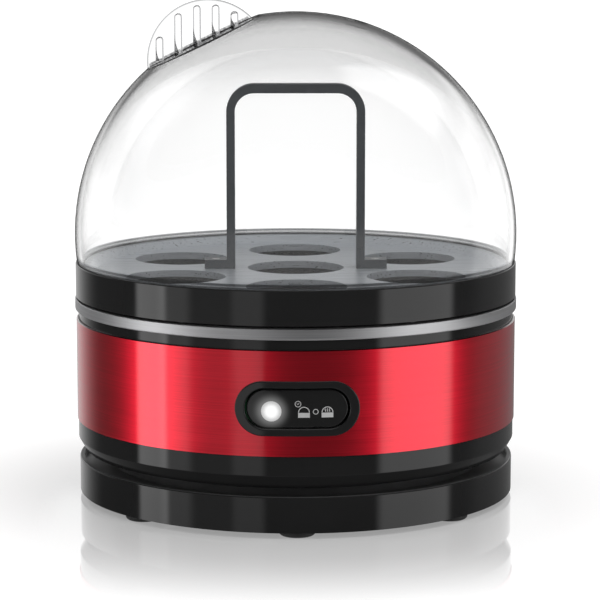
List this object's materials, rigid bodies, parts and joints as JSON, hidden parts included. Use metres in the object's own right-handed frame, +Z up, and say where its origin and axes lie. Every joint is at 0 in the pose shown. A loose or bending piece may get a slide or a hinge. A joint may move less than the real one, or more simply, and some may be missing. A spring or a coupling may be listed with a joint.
{
  "type": "egg cooker",
  "caption": "Round electric egg cooker: clear domed lid with ribbed grip fin, steel egg plate with lifting handle, heated water bowl, red metal sleeve, rocker switch and cord groove.",
  "frame": {"origin": "on the floor under the middle of the base", "axes": "+Z up, -Y towards the front with the switch, +X to the right seen from the front"},
  "size_m": [0.1604, 0.1608, 0.1793],
  "materials": {
    "clear_lid": "clear, polished",
    "black_gloss": "high gloss black",
    "brushed_steel": "brushed",
    "red_metal": "translucent red lacquer over brushed metal",
    "handle_dark": "satin",
    "rubber_black": "matte",
    "silicone": "matte",
    "aluminium": "satin",
    "element_steel": "oxidised",
    "zinc_steel": "zinc plated",
    "phenolic": "moulded",
    "fuse_body": "tinned",
    "terminal_white": "moulded",
    "board_green": "solder mask",
    "lamp_white": "frosted, lit"
  },
  "bodies": {
    "base": {"inner_shell": "black_gloss", "lower_housing": "black_gloss", "base_plate": "black_gloss", "cord_spool": "black_gloss", "switch_bezel": "black_gloss", "heating_bowl": "brushed_steel", "sleeve": "red_metal", "base_feet": "rubber_black", "cord_gland": "rubber_black", "rim_seal": "silicone", "heat_plate": "aluminium", "thermostat_bracket": "aluminium", "fuse_clip": "aluminium", "heating_element": "element_steel", "element_terminals": "zinc_steel", "thermostat_screws": "zinc_steel", "bowl_brackets": "zinc_steel", "tie_screws": "zinc_steel", "base_screws": "zinc_steel", "rocker_pin": "zinc_steel", "switch_terminals": "zinc_steel", "thermostat": "phenolic", "switch_body": "phenolic", "buzzer": "phenolic", "thermal_fuse": "fuse_body", "terminal_block": "terminal_white", "control_board": "board_green", "indicator_led": "lamp_white"},
    "rack": {"rack_ring": "black_gloss", "egg_plate": "brushed_steel", "rack_handle": "handle_dark", "handle_screws": "zinc_steel"},
    "lid": {"clear_lid": "clear_lid"},
    "rocker": {"switch_rocker": "black_gloss", "indicator_lens": "lamp_white"}
  },
  "joints": [
    {"name": "rack_lift", "type": "slide", "parent": "base", "child": "rack", "axis": [0, 0, 1], "range_m": [0, 0.12]},
    {"name": "lid_lift", "type": "slide", "parent": "rack", "child": "lid", "axis": [0, 0, 1], "range_m": [0, 0.12]},
    {"name": "rocker_tilt", "type": "hinge", "parent": "base", "child": "rocker", "pos_m": [0, -0.074, 0.0451], "axis": [0, 0, 1], "range_deg": [-6, 6]}
  ]
}
